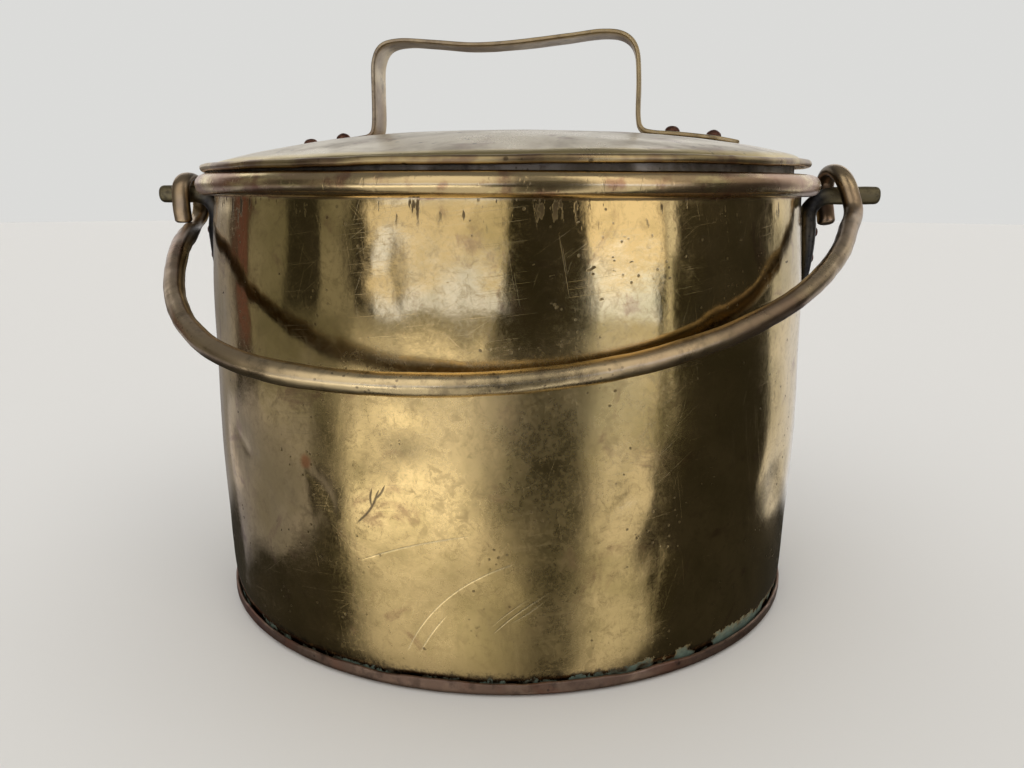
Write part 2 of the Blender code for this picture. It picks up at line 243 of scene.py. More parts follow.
def revolve(outline, columns, move, closed=False):
    """The vertices and faces of the outline turned round the Z axis.

    move(radius, angle, z) shifts its points. A closed outline joins its last row to its first.
    """
    angles = np.arange(columns) * 2 * math.pi / columns
    radius, angle = np.meshgrid(outline[:, 0], angles, indexing="ij")
    z = np.repeat(outline[:, 1][:, None], columns, axis=1)
    radius, z = move(radius, angle, z)
    points = polar(radius, angle, z).reshape(-1, 3)
    return points, ring_faces(len(outline), columns, closed)


def tube(centres, half_thick, half_wide, wide_axis, sides, squareness, lumps):
    """The vertices and faces of a bar: rings of its section along centres.

    A squareness of 2 is round, and more is boxier. lumps(vertices) is how far each one stands out.
    """
    centres = np.asarray(centres, float)
    along = np.gradient(centres, axis=0)
    along /= np.linalg.norm(along, axis=1)[:, None]
    wide_axis = np.asarray(wide_axis, float)
    normal = np.cross(along[0], wide_axis)
    vertices = []
    turn = 2 * math.pi * (np.arange(sides) + 0.5) / sides
    c, s = np.cos(turn)[:, None], np.sin(turn)[:, None]
    reach = (np.abs(c) ** squareness + np.abs(s) ** squareness) ** (-1 / squareness)
    for centre, direction, thick, wide in zip(centres, along, half_thick, half_wide):
        normal = normal - direction * (normal @ direction)
        normal /= np.linalg.norm(normal)
        side = np.cross(direction, normal)
        across = wide_axis - direction * (wide_axis @ direction)
        stretch = np.linalg.norm(across)
        across = across / stretch if stretch > 0.01 else side
        offset = (normal * c + side * s) * reach
        offset = offset * thick + across * (offset @ across)[:, None] * (wide - thick) * stretch
        vertices.append(centre + offset)
    vertices = np.array(vertices)
    outward = vertices - centres[:, None, :]
    length = np.linalg.norm(outward, axis=2, keepdims=True)
    vertices = vertices + outward / np.maximum(length, 1e-6) * lumps(vertices)[..., None]
    rows = len(centres)
    faces = ring_faces(rows, sides, False)
    faces.append(tuple(range(sides))[::-1])
    faces.append(tuple(range((rows - 1) * sides, rows * sides)))
    return vertices.reshape(-1, 3), faces


def with_round_ends(centres, half_thick, half_wide, bluntness=1.0, steps=6):
    """Adds domed ends to a bar. A small bluntness makes a flatter end."""
    pieces = []
    for end, inside in ((0, 1), (-1, -2)):
        outward = centres[end] - centres[inside]
        outward = outward / np.linalg.norm(outward)
        angles = math.pi / 2 * np.arange(1, steps + 1) / (steps + 0.35)
        shrink = np.cos(angles) ** (0.5 if bluntness < 1.0 else 1.0)
        reach = half_thick[end] * bluntness * np.sin(angles)
        pieces.append((centres[end] + outward * reach[:, None],
                       half_thick[end] * shrink, half_wide[end] * shrink))
    bar = (centres, half_thick, half_wide)
    return [np.concatenate([a[::-1], b, c]) for a, b, c in zip(pieces[0], bar, pieces[1])]


# ---- materials


class Nodes:
    """Short calls for building a node tree."""

    def __init__(self, tree, place="Object"):
        self.tree = tree
        self.place = self.add("TexCoord")[place]

    def feed(self, socket, value):
        """Links the value to the socket, or sets it there. None leaves the socket alone."""
        if isinstance(value, bpy.types.NodeSocket):
            self.tree.links.new(value, socket)
        elif value is not None:
            socket.default_value = value

    def add(self, kind, inputs=(), **settings):
        """A new node's outputs, once its settings are made and its inputs fed."""
        node = self.tree.nodes.new("ShaderNode" + kind)
        for key, value in settings.items():
            setattr(node, key, value)
        for key, value in dict(inputs).items():
            self.feed(node.inputs[key], value)
        return node.outputs

    def math(self, operation, a, b=0.0):
        return self.add("Math", {0: a, 1: b}, operation=operation)[0]

    def vector(self, operation, *values):
        inputs = enumerate(values)
        return self.add("VectorMath", inputs, operation=operation)

    def times(self, a, b):
        return self.math("MULTIPLY", a, b)

    def plus(self, value, *layers):
        """The value and each layer's other value times its amount."""
        for other, amount in layers:
            value = self.math("ADD", value, self.times(other, amount))
        return value

    def larger(self, a, b):
        return self.math("MAXIMUM", a, b)

    def magnitude(self, value):
        return self.math("ABSOLUTE", value)

    def invert(self, share):
        return self.math("SUBTRACT", 1.0, share)

    def noise(self, size, detail=4.0, vector=None, rough=0.55, warp=0.0):
        """Noise from 0 to 1 with bumps about size metres across."""
        inputs = {"Vector": vector or self.place, "Scale": 1.0 / size, "Detail": detail,
                  "Roughness": rough, "Distortion": warp}
        return self.add("TexNoise", inputs)["Fac"]

    def cells(self, size, vector):
        """The distance to the nearest of many scattered points, about size apart."""
        return self.add("TexVoronoi", {"Vector": vector, "Scale": 1.0 / size})["Distance"]

    def step(self, value, low, high):
        """0 below low and 1 above high, with a smooth change between them."""
        inputs = {"Value": value, "From Min": low, "From Max": high}
        return self.add("MapRange", inputs, interpolation_type="SMOOTHSTEP")["Result"]

    def mix(self, share, a, b, **settings):
        """Colour a where share is 0 and colour b where it is 1."""
        inputs = {"Factor": share}
        for socket, colour in ((COLOUR_A, a), (COLOUR_B, b)):
            plain = not isinstance(colour, bpy.types.NodeSocket)
            inputs[socket] = (*colour, 1.0) if plain else colour
        return self.add("Mix", inputs, data_type="RGBA", **settings)[COLOUR_OUT]

    def tint(self, colour, share, amount, other):
        """colour, with as much of the other colour as share times amount."""
        return self.mix(self.times(share, amount), colour, other)

    def blend(self, share, a, b):
        """a where share is 0 and b where it is 1, as plain numbers."""
        inputs = {"Factor": share, FLOAT_A: a, FLOAT_B: b}
        return self.add("Mix", inputs, data_type="FLOAT")[FLOAT_OUT]

    def axis(self, letter):
        if not hasattr(self, "split"):
            self.split = self.add("SeparateXYZ", {0: self.place})
        return self.split[letter]

    def angle(self):
        """The angle round the Z axis in radians, 0 at the front and growing towards +X."""
        return self.math("ARCTAN2", self.axis("X"), self.times(self.axis("Y"), -1.0))

    def scaled(self, vector, scale, tilt=0.0):
        """The vector, for noise whose bumps are longer by the scale along X, Y and Z."""
        inputs = {"Vector": vector, "Rotation": (0.0, 0.0, tilt), "Scale": scale}
        return self.add("Mapping", inputs, vector_type="TEXTURE")["Vector"]

    def stretched(self, scale):
        return self.scaled(self.place, scale)

    def unrolled(self, across=1.0, upward=1.0, tilt=0.0):
        """Coordinates on the unrolled wall: along the circumference, then up, in metres."""
        inputs = {"X": self.times(self.angle(), WALL_MEAN * MM), "Y": self.axis("Z")}
        join = self.add("CombineXYZ", inputs)["Vector"]
        return self.scaled(join, (across, upward, 1.0), tilt)

    def warped(self, amount):
        """The place, pushed about by amount metres, so that cells lose their round shape."""
        inputs = {"Vector": self.place, "Scale": 0.4 / amount}
        noise = self.add("TexNoise", inputs)["Color"]
        return self.vector("MULTIPLY_ADD", noise, (amount,) * 3, self.place)["Vector"]

    def facing_axis(self, low, high):
        """1 where the surface faces the Z axis, falling to 0 where it faces away."""
        flat = self.vector("MULTIPLY", self.place, (-1.0, -1.0, 0.0))["Vector"]
        inward = self.vector("NORMALIZE", flat)["Vector"]
        normal = self.add("TexCoord")["Normal"]
        return self.step(self.vector("DOT_PRODUCT", inward, normal)["Value"], low, high)

    def blob(self, centre, reach, soft):
        """1 within reach of a place, falling to 0 over soft, all in metres."""
        middle = [c + reach * 0.3 for c in centre]
        away = self.vector("DISTANCE", self.warped(reach * 0.6), middle)["Value"]
        return self.invert(self.step(away, reach - soft, reach))

    def bump(self, height, strength, distance, normal=None):
        """A normal bent by the height, on top of the normal given."""
        inputs = {"Strength": strength, "Distance": distance, "Height": height, "Normal": normal}
        return self.add("Bump", inputs)["Normal"]

    def finish(self, colour, roughness, metallic=1.0, normal=None):
        """Feeds the shader and gives the finished material."""
        inputs = {"Base Color": colour, "Roughness": roughness, "Metallic": metallic,
                  "Normal": normal}
        for name, value in inputs.items():
            self.feed(self.shader.inputs[name], value)
        return self.material


def hairlines(n, layers):
    """Fine straight scratches: layers gives each one's tilt, width, length and rarity."""
    lines = []
    for tilt, width, length, rarity in layers:
        noise = n.noise(1.0, 1.0, n.unrolled(length, width, tilt), 0.4)
        lines.append(n.step(noise, rarity, rarity + 0.05))
    return reduce(n.larger, lines)


def new_material(name):
    """A new material's Nodes, with the material and its shader at hand."""
    material = bpy.data.materials.new(name)
    material.use_nodes = True
    n = Nodes(material.node_tree)
    n.material = material
    n.shader = material.node_tree.nodes["Principled BSDF"]
    return n


def spots(n, size, share, field_size, field_low):
    """Small dark spots of about size, gathered in fields."""
    cells = n.cells(size, n.warped(size * 0.5))
    dots = n.invert(n.step(cells, share * 0.5, share))
    field = n.step(n.noise(field_size, 3.0), field_low, field_low + 0.08)
    return n.times(dots, field)


def body_material():
    """Aged sheet brass: polished above, satin below, with stains, scratches and a crusted seam."""
    n = new_material("pot_body_brass")
    z = n.axis("Z")
    high = n.step(z, 0.125, 0.16)
    clouds = n.noise(0.06, 5.0, rough=0.6, warp=0.4)
    mottle = n.noise(0.010, 5.0, rough=0.65)
    grain = n.noise(0.0014, 3.0)
    gold, bare_brass, bright_brass = (0.76, 0.56, 0.26), (0.80, 0.66, 0.42), (0.85, 0.72, 0.46)
    olive, tan, dull_foot = (0.50, 0.375, 0.155), (0.42, 0.30, 0.13), (0.34, 0.235, 0.11)
    brown, umber, heat_orange = (0.33, 0.19, 0.10), (0.30, 0.20, 0.09), (0.50, 0.20, 0.07)
    crack_brown, near_black, earth = (0.10, 0.08, 0.06), (0.07, 0.045, 0.025), (0.06, 0.045, 0.03)
    dark_green, pale_green = (0.035, 0.06, 0.05), (0.16, 0.235, 0.19)
    colour = n.mix(n.step(clouds, 0.40, 0.68), gold, olive)
    colour = n.tint(colour, n.step(mottle, 0.48, 0.74), 0.45, olive)
    film = n.noise(0.0045, 6.0, rough=0.72, warp=0.6)
    filmed = n.step(film, 0.46, 0.70)
    colour = n.tint(colour, filmed, 0.55, tan)
    dust = n.step(n.noise(0.0012, 4.0, rough=0.7), 0.60, 0.72)
    dust = n.times(dust, n.step(n.noise(0.03, 4.0), 0.44, 0.60))
    colour = n.tint(colour, dust, 0.5, umber)
    stain = n.times(n.step(n.noise(0.028, 5.0, warp=1.0, rough=0.62), 0.56, 0.70), 0.6)
    colour = n.mix(stain, colour, brown)
    foot = n.invert(n.step(n.plus(z, (film, 0.012)), 0.010, 0.030))
    colour = n.tint(colour, foot, 0.5, dull_foot)
    # One heat spot, low at the left.
    heated = n.blob((-0.0761, -0.1292, 0.094), 0.0045, 0.003)
    colour = n.tint(colour, heated, 0.8, heat_orange)

    # Dark spots, drips that hang from the rim, and short dark dashes on the upper wall.
    dark = n.times(spots(n, 0.0036, 0.22, 0.02, 0.53), 0.75)
    hanging = n.noise(0.0035, 3.0, n.stretched((1.0, 1.0, 3.5)), 0.6)
    under_rim = n.step(n.plus(z, (n.noise(0.02, 2.0), 0.02)), 0.197, 0.208)
    drips = n.times(n.step(hanging, 0.60, 0.66), under_rim)
    dashes = n.noise(0.003, 2.0, n.unrolled(2.6, 1.0, 0.25), 0.5)
    dashes = n.times(n.step(dashes, 0.70, 0.75), n.step(n.noise(0.03, 2.0), 0.52, 0.60))
    dark = n.larger(dark, n.larger(drips, n.times(dashes, high)))
    colour = n.tint(colour, dark, 0.8, near_black)

    scratches = hairlines(n, [
        (0.12, 0.00018, 0.045, 0.72), (0.6, 0.00020, 0.05, 0.74), (-0.75, 0.00018, 0.04, 0.74),
        (1.25, 0.00022, 0.04, 0.74), (-1.4, 0.00020, 0.05, 0.73),
    ])
    colour = n.tint(colour, scratches, 0.12, bare_brass)
    scored = scores(n, SCORES, 0.00055)
    colour = n.tint(colour, scored, 0.4, bright_brass)
    cracked = scores(n, CRACKS, 0.0009)
    colour = n.tint(colour, cracked, 0.75, crack_brown)
    dark = n.larger(dark, n.times(cracked, 0.7))

    # The rolled rim is browner, with brass rubbed bright along its crest, and a painted highlight
    # near the middle of its front and back.
    rim = n.step(z, 0.1995, 0.2012)
    rubbed = n.step(n.noise(0.022, 5.0, n.stretched((1.0, 1.0, 0.3)), 0.6), 0.40, 0.66)
    # Painted highlight: where X is near zero the rim is pushed towards its bright colour.
    middle = n.invert(n.step(n.magnitude(n.axis("X")), 0.03, 0.12))
    rubbed = n.larger(rubbed, n.times(middle, 0.75))
    rim_brown, rim_wear_and_highlight, rim_red = (0.50, 0.32, 0.20), (0.82, 0.65, 0.34), (0.36, 0.17, 0.11)
    rim_colour = n.mix(rubbed, rim_brown, rim_wear_and_highlight)
    reddened = n.times(n.step(n.noise(0.012, 4.0), 0.52, 0.70), 0.7)
    rim_colour = n.mix(reddened, rim_colour, rim_red)
    colour = n.mix(rim, colour, rim_colour)

    # Green corrosion and dirt along the seam with the base pan, most of it at the right.
    side = n.step(n.axis("X"), 0.035, 0.095)
    top = n.blend(side, 0.0064, 0.0115)
    ragged = n.times(n.math("SUBTRACT", n.noise(0.0045, 6.0, rough=0.75), 0.5), 0.014)
    edge = n.math("ADD", z, ragged)
    crust = n.invert(n.step(n.math("SUBTRACT", edge, top), -0.0006, 0.0006))
    crust = n.times(crust, n.step(n.noise(0.011, 4.0), 0.44, 0.56))
    dirt = n.invert(n.step(edge, 0.0070, 0.0105))
    colour = n.tint(colour, dirt, 0.85, earth)
    green = n.mix(n.noise(0.003, 4.0), dark_green, pale_green)
    colour = n.tint(colour, crust, 0.85, green)

    # The upper wall keeps its polish; lower down it is worn to a satin.
    polish = n.step(n.noise(0.045, 5.0, rough=0.6), 0.34, 0.68)
    shiny = n.larger(high, n.step(n.magnitude(n.axis("X")), 0.045, 0.09))
    roughness = n.blend(shiny, n.blend(polish, 0.17, 0.30), n.blend(polish, 0.07, 0.14))
    grained = n.step(grain, 0.4, 0.7)
    roughness = n.plus(roughness, (grained, 0.05), (filmed, 0.08), (stain, 0.10), (scratches, 0.05))
    roughness = n.blend(dark, roughness, 0.5)
    roughness = n.blend(rim, roughness, n.blend(rubbed, 0.30, 0.19))
    roughness = n.blend(crust, roughness, 0.85)
    metallic = n.invert(n.times(crust, 0.8))

    height = n.times(grain, 0.15)
    height = n.plus(height, (scratches, -0.15), (dark, -0.8), (scored, -1.6), (crust, 0.4))
    normal = n.bump(n.noise(0.011, 3.0, n.stretched((1.0, 1.0, 2.2))), 0.16, 0.0005)
    normal = n.bump(n.noise(0.004, 4.0), 0.16, 0.0002, normal)
    normal = n.bump(height, 0.35, 0.0001, normal)
    return n.finish(colour, roughness, metallic, normal)


# Thin curved score marks on the wall, each part of a circle on the unrolled wall in metres:
# its centre, radius, middle direction and half its span in radians.
SCORES = [
    ((0.0339, -0.0103), 0.0732, 2.32, 0.43), ((0.0339, -0.0103), 0.0680, 2.56, 0.17),
    ((0.0750, -0.0400), 0.0995, 2.24, 0.16), ((0.0750, -0.0420), 0.1035, 2.26, 0.11),
    ((-0.020, 0.0900), 0.0640, -0.95, 0.14), ((0.0200, -0.0900), 0.1630, 1.88, 0.16),
]
# Short dark cracks, given in the same way.
CRACKS = [
    ((-0.0671, 0.0922), 0.0237, -0.59, 0.37), ((-0.0396, 0.0835), 0.0078, 3.11, 0.43),
    ((-0.0487, 0.0905), 0.0075, -0.62, 0.42),
]


def scores(n, marks, half_width):
    """1 along the marks, falling to 0 at half_width metres from them."""
    place = n.unrolled()
    lines = []
    for centre, radius, direction, half_span in marks:
        away = n.vector("SUBTRACT", place, (*centre, 0.0))["Vector"]
        length = n.vector("LENGTH", away)["Value"]
        middle = (math.cos(direction), math.sin(direction), 0.0)
        along = n.vector("DOT_PRODUCT", away, middle)["Value"]
        off = n.magnitude(n.math("SUBTRACT", length, radius))
        off = n.plus(off, (n.noise(0.004, 3.0), 0.0002))
        line = n.invert(n.step(off, 0.0001, half_width))
        limit = radius * math.cos(half_span)
        lines.append(n.times(line, n.step(along, limit, limit + radius * 0.01)))
    return reduce(n.larger, lines)


def inner_material():
    """The dull inside and underside."""
    n = new_material("pot_inside_dull")
    pale, dull, brown = (0.42, 0.38, 0.31), (0.22, 0.18, 0.13), (0.16, 0.12, 0.08)
    cloud = n.noise(0.04, 5.0, rough=0.6)
    colour = n.mix(n.step(cloud, 0.35, 0.7), pale, dull)
    colour = n.mix(n.step(n.noise(0.01, 4.0), 0.56, 0.7), colour, brown)
    roughness = n.blend(cloud, 0.35, 0.6)
    normal = n.bump(n.noise(0.004, 4.0), 0.4, 0.0002)
    return n.finish(colour, roughness, 1.0, normal)


def aged_metal(name, main, worn, dark, sizes, rough, bump_mm=0.15, red=None, zone=None,
               shade_inner_side=False):
    """Rubbed old metal: its main colour, brighter wear and dark tarnish, in patches of three sizes.

    zone(nodes) gives where a second colour takes over, and that colour. A piece may get painted
    shade on the side that faces the pot's axis.
    """
    n = new_material(name)
    large, middle, fine = sizes
    wear = n.step(n.noise(large, 5.0, warp=0.5, rough=0.6), 0.40, 0.68)
    tarnish = n.step(n.noise(middle, 5.0, rough=0.65), 0.48, 0.72)
    colour = n.mix(wear, main, worn)
    if red is not None:
        colour = n.mix(n.step(n.noise(large * 1.7, 4.0, warp=0.8), 0.46, 0.70), colour, red)
    if zone is not None:
        share, second = zone(n)
        colour = n.tint(colour, share, 0.8, second)
    colour = n.tint(colour, tarnish, 0.6, dark)
    specks = spots(n, fine * 2.5, 0.25, large, 0.52)
    colour = n.tint(colour, specks, 0.7, dark)
    if shade_inner_side:
        # Painted shade on the side that faces the pot's axis.
        inner_shade_colour = (0.085, 0.068, 0.048)
        colour = n.tint(colour, n.facing_axis(0.05, 0.75), 0.85, inner_shade_colour)
    roughness = n.blend(wear, rough[1], rough[0])
    roughness = n.plus(roughness, (n.noise(fine, 3.0), 0.12))
    height = n.plus(n.noise(middle, 4.0), (n.noise(fine, 3.0), 0.35), (specks, -0.5))
    normal = n.bump(height, 0.55, bump_mm * MM)
    return n.finish(colour, roughness, 1.0, normal)


def lid_material():
    """A greyer, cloudy dome with a painted yellow highlight round its shoulder and a browned hem.
    """
    n = new_material("lid_brass")
    pale_brass, grey_brass, brown = (0.66, 0.58, 0.42), (0.42, 0.35, 0.24), (0.27, 0.16, 0.10)
    painted_highlight_yellow, near_black = (0.70, 0.55, 0.24), (0.07, 0.05, 0.03)
    hem_brown, hem_worn = (0.24, 0.15, 0.10), (0.50, 0.38, 0.20)
    patches = n.noise(0.045, 5.0, rough=0.6, warp=0.6)
    colour = n.mix(n.step(patches, 0.4, 0.66), pale_brass, grey_brass)
    browned = n.times(n.step(n.noise(0.02, 4.0, warp=0.8), 0.54, 0.72), 0.65)
    colour = n.mix(browned, colour, brown)
    squares = [n.math("POWER", n.axis(letter), 2.0) for letter in "XY"]
    radius = n.math("SQRT", n.math("ADD", *squares))
    # Painted highlight: a yellow band round the dome's shoulder.
    shoulder_highlight = n.step(n.plus(radius, (n.noise(0.012, 4.0), 0.005)), 0.1425, 0.1475)
    colour = n.tint(colour, shoulder_highlight, 0.8, painted_highlight_yellow)
    hem = n.step(radius, 0.1482, 0.1500)
    rubbed = n.step(n.noise(0.018, 4.0), 0.42, 0.6)
    colour = n.tint(colour, hem, 0.85, n.mix(rubbed, hem_brown, hem_worn))
    dark = spots(n, 0.005, 0.25, 0.02, 0.5)
    colour = n.tint(colour, dark, 0.7, near_black)
    scratches = hairlines(n, [(0.3, 0.0003, 0.03, 0.70), (-0.9, 0.0003, 0.02, 0.71)])
    roughness = n.blend(n.step(patches, 0.35, 0.7), 0.22, 0.36)
    roughness = n.plus(roughness, (n.noise(0.0015, 2.0), 0.1))
    height = n.plus(n.times(n.noise(0.0015, 3.0), 0.3), (dark, -0.6), (scratches, -0.4))
    normal = n.bump(n.noise(0.01, 3.0), 0.25, 0.0005)
    normal = n.bump(height, 0.3, 0.0001, normal)
    return n.finish(colour, roughness, 1.0, normal)


def bail_zone(n):
    """The front of the bow, where hands keep it golden."""
    away = n.magnitude(n.math("SUBTRACT", n.axis("X"), -0.01))
    return n.invert(n.step(away, 0.03, 0.12)), (0.88, 0.70, 0.40)


def peg_zone(n):
    """The pegs and arms, where the bail rubs them."""
    return n.step(n.magnitude(n.axis("X")), 0.157, 0.166), (0.30, 0.25, 0.14)


def strap_zone(n):
    """The strap's long edges and outer face."""
    return n.step(n.magnitude(n.axis("Y")), 0.004, 0.018), (0.60, 0.46, 0.24)


BODY = body_material()
INSIDE = inner_material()
LID = lid_material()
BASE = aged_metal("base_copper", (0.25, 0.165, 0.12), (0.42, 0.29, 0.21), (0.07, 0.05, 0.04),
                  (0.02, 0.006, 0.0012), (0.32, 0.5), red=(0.30, 0.155, 0.105))
# The bail is given painted shade on its side towards the pot.
BAIL = aged_metal("bail_bronze", (0.45, 0.33, 0.21), (0.66, 0.50, 0.29), (0.20, 0.145, 0.10),
                  (0.04, 0.008, 0.0012), (0.19, 0.30), 0.06, red=(0.38, 0.25, 0.17), zone=bail_zone,
                  shade_inner_side=True)
LUG = aged_metal("lug_forged", (0.055, 0.058, 0.065), (0.14, 0.125, 0.10), (0.02, 0.02, 0.025),
                 (0.02, 0.005, 0.001), (0.34, 0.5), zone=peg_zone)
STRAP = aged_metal("strap_brass", (0.36, 0.28, 0.20), (0.52, 0.42, 0.27), (0.15, 0.11, 0.08),
                   (0.03, 0.007, 0.001), (0.24, 0.38), red=(0.28, 0.18, 0.12), zone=strap_zone)
RIVET = aged_metal("rivet_copper", (0.16, 0.075, 0.055), (0.30, 0.15, 0.095), (0.04, 0.022, 0.018),
                   (0.004, 0.002, 0.0006), (0.36, 0.5), 0.1)
COLLAR = aged_metal("collar_brass", (0.26, 0.22, 0.16), (0.45, 0.40, 0.32), (0.07, 0.055, 0.045),
                    (0.02, 0.006, 0.001), (0.4, 0.55))
WIRE = aged_metal("rim_iron", (0.12, 0.10, 0.09), (0.2, 0.14, 0.1), (0.04, 0.03, 0.03),
                  (0.02, 0.005, 0.001), (0.5, 0.7))


# ---- pot body

# Dents: degrees from the front towards +X, height, half width, half height, depth, in mm.
DENTS = [
    (-50, 92, 17, 15, 0.9), (-40, 66, 15, 18, 0.9), (-27, 82, 10, 9, 0.4), (-36, 78, 9, 8, 0.35),
    (-58, 150, 18, 30, 0.9), (-14, 172, 9, 22, 0.5), (-3, 160, 7, 18, 0.4), (22, 84, 8, 7, 0.45),
    (27, 60, 16, 12, 0.7), (44, 96, 18, 14, 0.9), (38, 150, 12, 26, 0.7), (58, 70, 16, 20, 1.0),
    (0, 40, 20, 14, 0.8), (-12, 112, 14, 12, 0.5), (12, 128, 16, 16, 0.4), (66, 130, 18, 24, 0.9),
    (95, 90, 22, 26, 1.3), (118, 150, 18, 20, 1.0), (140, 60, 24, 20, 1.5), (165, 120, 20, 30, 1.0),
    (-170, 70, 18, 22, 1.2), (-145, 140, 22, 18, 1.1), (-120, 80, 20, 26, 1.3),
    (-95, 50, 16, 14, 0.9), (-100, 120, 18, 20, 0.8), (180, 170, 22, 14, 0.8),
    (80, 40, 16, 14, 0.8),
]
# Creases: points in degrees and mm of height, with the fold's width and depth in mm.
CREASES = [
    ([(-13, 17), (-9, 36), (-4, 52), (5, 60)], 2.2, 0.12),
    ([(17, 74), (22, 85), (27, 82)], 1.5, 0.18),
    ([(22, 94), (22, 85), (19, 79)], 1.2, 0.14),
    ([(27, 44), (28, 58), (26, 70)], 1.6, 0.07),
    ([(-30, 90), (-26, 82), (-25, 74)], 1.8, 0.20),
    ([(-52, 95), (-47, 89), (-44, 90)], 1.8, 0.22),
    ([(-24, 150), (-19, 120), (-20, 96)], 2.4, 0.10),
    ([(-34, 74), (-30, 70), (-28, 72)], 1.8, 0.16),
    ([(134, 92), (138, 74), (136, 60)], 2.6, 0.12),
    ([(-128, 104), (-122, 88), (-121, 74)], 2.6, 0.11),
]


def within_half_turn(degrees):
    """The same angle, between -180 and 180 degrees."""
    return (degrees + 180.0) % 360.0 - 180.0


def wall_shift(angle, z):
    """How far the wall stands out from its profile, in mm, at an angle and a height."""
    degrees = within_half_turn(np.degrees(angle))
    place = on_wall(angle, z)
    shift = 0.55 * soft_noise(place, 58.0, 3) + 0.22 * soft_noise(place, 27.0, 7)
    shift += 0.10 * soft_noise(place * [1, 1, 0.35], 13.0, 11) + 0.025 * soft_noise(place, 7.0, 5)
    upper = np.interp(z, [120.0, 150.0], [0.0, 1.0])
    shift += upper * 0.14 * soft_noise(place * [1, 1, 0.22], 10.0, 13)
    shift += upper * 0.05 * soft_noise(place * [1, 1, 0.4], 5.0, 15)
    for middle, height, wide, tall, depth in DENTS:
        across = np.radians(within_half_turn(degrees - middle)) * WALL_MEAN / wide
        upward = (z - height) / tall
        shift -= depth * np.exp(-(across**2 + upward**2) * 1.6)
    for line, width, depth in CREASES:
        path = smooth_path(line, 6)
        nearest = np.full(z.shape, 1e3)
        for (a0, z0), (a1, z1) in zip(path, path[1:]):
            u = np.radians(within_half_turn(degrees - a0)) * WALL_MEAN
            du, dz = math.radians(a1 - a0) * WALL_MEAN, z1 - z0
            t = np.clip((u * du + (z - z0) * dz) / (du * du + dz * dz), 0.0, 1.0)
            distance = np.hypot(u - t * du, z - z0 - t * dz)
            nearest = np.minimum(nearest, distance)
        shift -= depth * np.exp(-((nearest / width) ** 2))
    return shift


def build_body():
    """The sheet wall, from its curled rim down to the flange inside the base pan."""
    half = WALL_THICKNESS / 2
    roll = RIM_ROLL - half
    curl = arc((RIM_RADIUS, RIM_Z), roll, math.radians(-118), math.pi, 34)
    wall = [(radius - half, z) for z, radius in reversed(WALL_OUTER)]
    foot_z = 1.8 + half
    low = wall[-1][0] - 0.5
    ends = [(low, foot_z + 1.8), (low - 0.5, foot_z + 0.4), (low - 1.6, foot_z), (142.8, foot_z)]
    neck = [(RIM_RADIUS - roll, 203.6), (RIM_RADIUS - roll + 0.25, 201.0)]
    stretch = even_path([tuple(curl[-1])] + neck + wall + ends[:3], 1.85)[1:]
    line = np.vstack([curl, stretch, [ends[3]]])
    outer, inner, caps = sheet_loop(line, WALL_THICKNESS, sparse=(12, 39, 9))
    outline = np.vstack([outer, caps[0], inner, caps[1]])

    def move(radius, angle, z):
        # The wall's dents fade out towards the pan and the rim, which has waves of its own.
        hold = np.interp(z, [0.0, 9.0, 22.0, 188.0, 200.0, 215.0], [0.0, 0.06, 1.0, 1.0, 0.35, 0.0])
        in_rim = np.interp(z, [198.0, 202.0], [0.0, 1.0])
        place = on_wall(angle, z)
        wave = soft_noise(place * [1, 1, 0.2], 36.0, 21) * 0.35 + soft_noise(place, 9.0, 23) * 0.10
        radius = radius + wall_shift(angle, z) * hold + in_rim * wave
        return radius, z + in_rim * 0.3 * soft_noise(place * [1, 1, 0.1], 44.0, 25)

    vertices, faces = revolve(outline, ROUND, move, closed=True)
    body = new_object(
        "body_shell", vertices, faces, "pot", ["pot_wall"], [BODY, INSIDE]
    )
    inner_top, inner_reach, underside = 0.205, 151.0, 0.0032
    for face in body.data.polygons:
        centre = face.center
        radius = math.hypot(centre.x, centre.y) / MM
        outward = face.normal.x * centre.x + face.normal.y * centre.y
        inner = centre.z < inner_top and outward < 0 and radius < inner_reach
        if inner or centre.z < underside:
            face.material_index = 1


def build_base():
    """The base pan, a copper disc whose edge is turned up round the foot of the wall."""
    half = 0.75
    edge = PAN_OUTER - half
    corner = arc((PAN_OUTER - 3.0, 3.0), 3.0 - half, 0.0, -math.pi / 2, 9)
    floor = [(r, half) for r in np.linspace(142.0, 6.0, 40)] + [(0.0, half)]
    line = np.vstack([[(edge, PAN_EDGE_Z), (edge, 5.2), (edge, 4.2)], corner, floor])
    outer, inner, caps = sheet_loop(line, 2 * half, 2)
    outline = np.vstack([inner, caps[1], outer])

    def move(radius, angle, z):
        place = on_wall(angle, z * 0.3)
        out = np.interp(radius, [143.0, 147.0], [0.0, 1.0])
        top = np.interp(z, [3.0, 6.0], [0.0, 1.0]) * out
        shift = 0.10 * soft_noise(place, 24.0, 31) + 0.06 * soft_noise(place, 7.0, 33) - 0.02
        rise = 0.55 * soft_noise(place, 15.0, 35) + 0.25 * soft_noise(place, 5.0, 37)
        return radius + shift * out, z + top * rise

    vertices, faces = revolve(outline, ROUND, move)
    new_object("base_pan_shell", vertices, faces, "pot", ["base_pan"], [BASE])


# ---- lid


def dome_z(radius):
    """The height of the lid's dome, in its own frame."""
    return LID_DOME_EDGE_Z + LID_DOME_RISE * (1 - (np.abs(radius) / LID_DOME) ** 3)


def to_pot(points):
    """From the lid's own frame to the pot's, in mm."""
    turn = np.array(Matrix.Rotation(LID_TILT, 3, "Y"))
    return np.asarray(points) @ turn.T + np.array(LID_SEAT)


